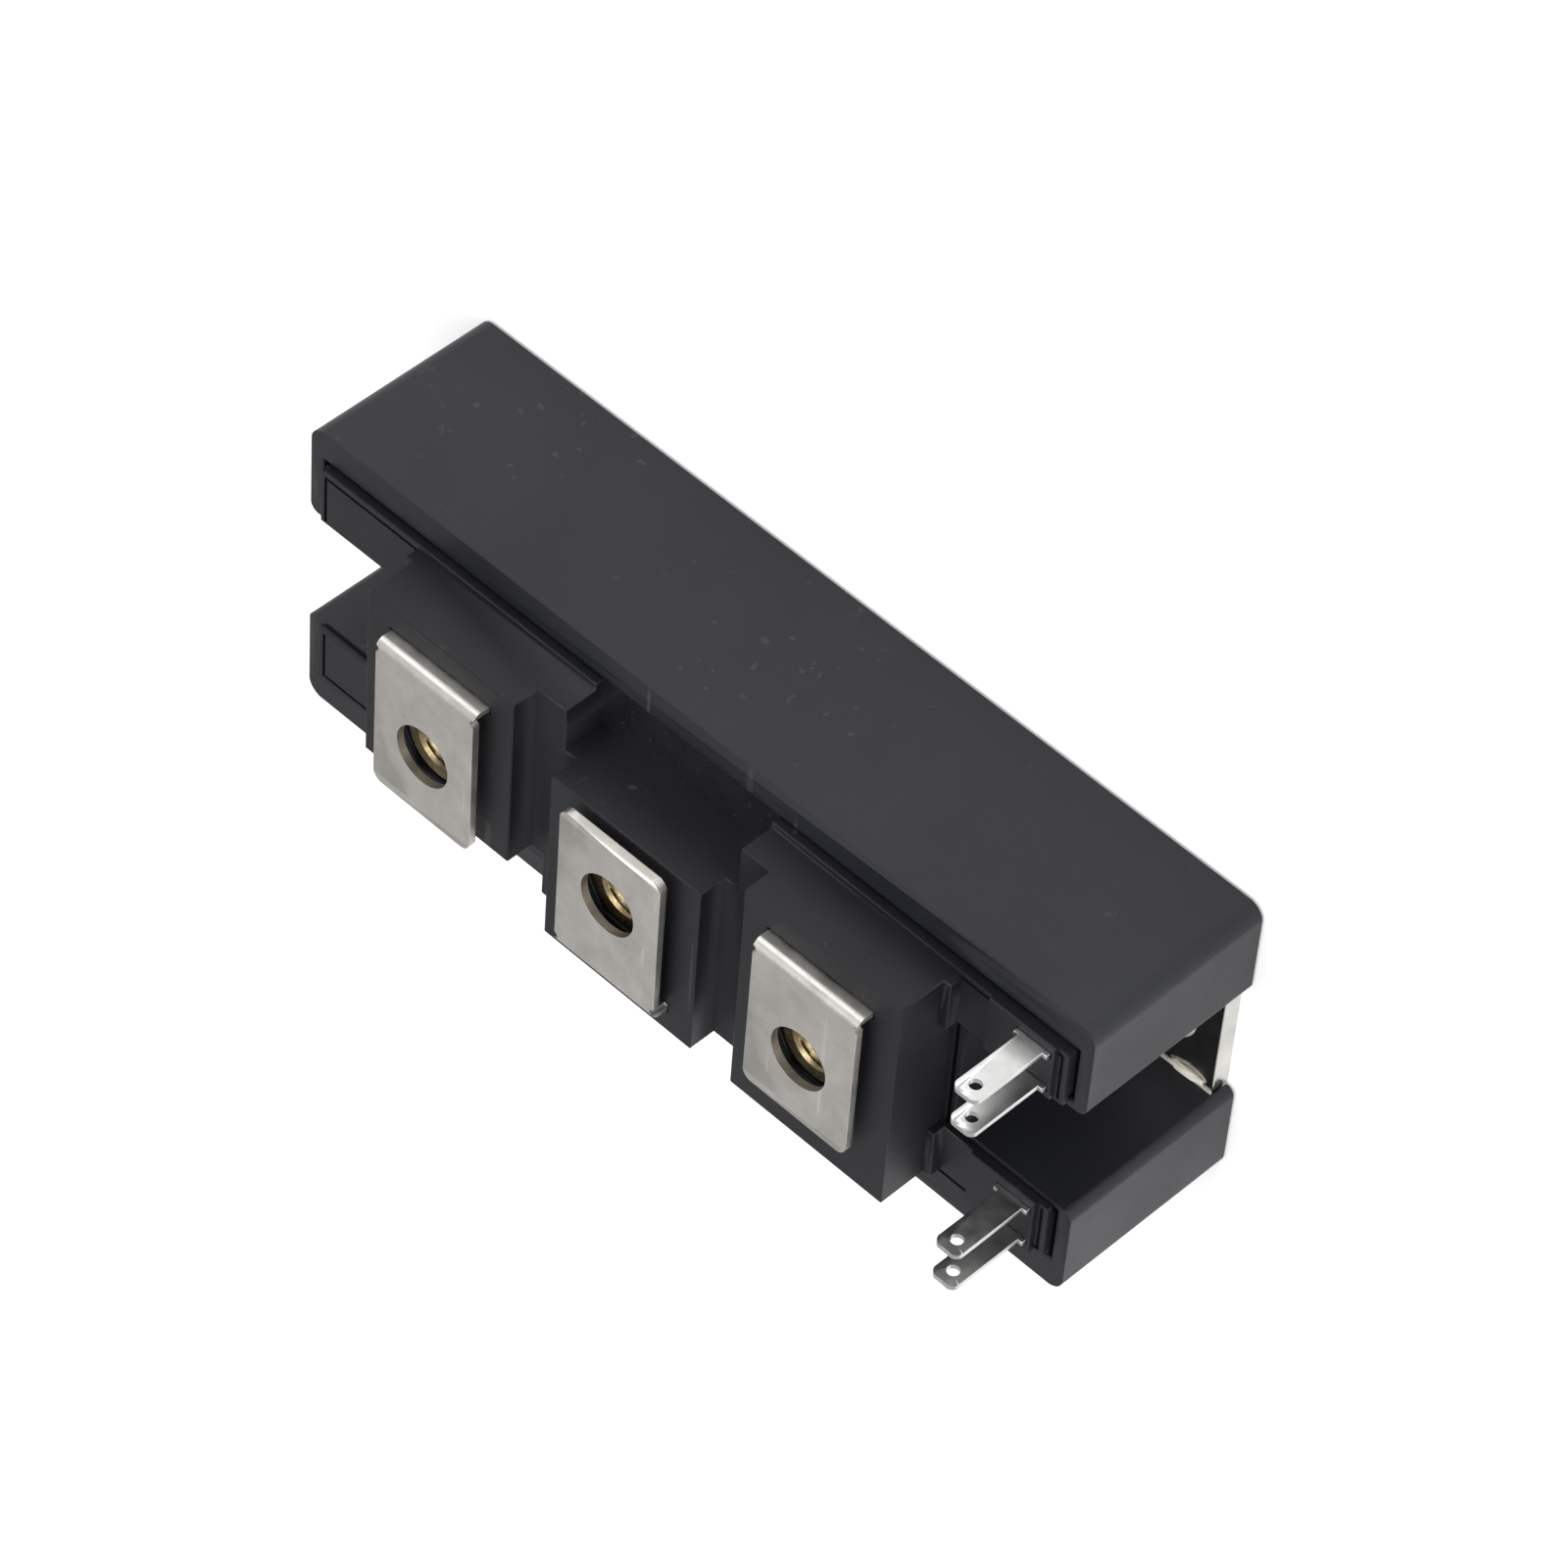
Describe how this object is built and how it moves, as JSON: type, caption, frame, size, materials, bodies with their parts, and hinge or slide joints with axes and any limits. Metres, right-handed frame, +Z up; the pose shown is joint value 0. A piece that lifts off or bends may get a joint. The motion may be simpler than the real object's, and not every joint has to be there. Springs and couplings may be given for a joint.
{
  "type": "igbt module",
  "caption": "Flat screw-down half-bridge power module with a moulded case, stepped screw terminals in line, push-on control tabs at one end and slotted mounting ends.",
  "frame": {"origin": "middle of the baseplate's underside", "axes": "+X along the module towards the control tabs, +Y across it, +Z up from the heat-sink face to the terminals"},
  "size_m": [0.094, 0.034, 0.0301],
  "materials": {
    "base_nickel": "nickel-plated copper, satin",
    "adhesive": "cured silicone adhesive",
    "case_plastic": "charcoal glass-filled moulded plastic, satin",
    "potting_resin": "hard black epoxy, glossy",
    "soft_gel": "clear soft silicone gel",
    "terminal_nickel": "nickel-plated copper strip, satin",
    "nut_brass": "yellow-passivated nut",
    "tab_tin": "tinned strip, bright",
    "solder": "soft solder, dull",
    "copper": "bare copper",
    "ceramic": "white alumina",
    "silicon": "metallised silicon",
    "wire_aluminium": "drawn aluminium wire"
  },
  "bodies": {
    "root": {"baseplate": "base_nickel", "frame_adhesive": "adhesive", "case_frame": "case_plastic", "terminal_cover": "case_plastic", "resin_seal": "potting_resin", "silicone_gel": "soft_gel", "busbar_1": "terminal_nickel", "busbar_2": "terminal_nickel", "busbar_3": "terminal_nickel", "terminal_nut_1": "nut_brass", "terminal_nut_2": "nut_brass", "terminal_nut_3": "nut_brass", "control_tab_1": "tab_tin", "control_tab_2": "tab_tin", "control_tab_3": "tab_tin", "control_tab_4": "tab_tin", "solder_left": "solder", "solder_right": "solder", "copper_back_left": "copper", "copper_back_right": "copper", "ceramic_left": "ceramic", "ceramic_right": "ceramic", "copper_tracks_left": "copper", "copper_tracks_right": "copper", "die_solder_left": "solder", "die_solder_right": "solder", "igbt_chip_left": "silicon", "igbt_chip_right": "silicon", "diode_chip_left": "silicon", "diode_chip_right": "silicon", "power_wires_left": "wire_aluminium", "power_wires_right": "wire_aluminium", "gate_wires_left": "wire_aluminium", "gate_wires_right": "wire_aluminium"}
  },
  "joints": []
}
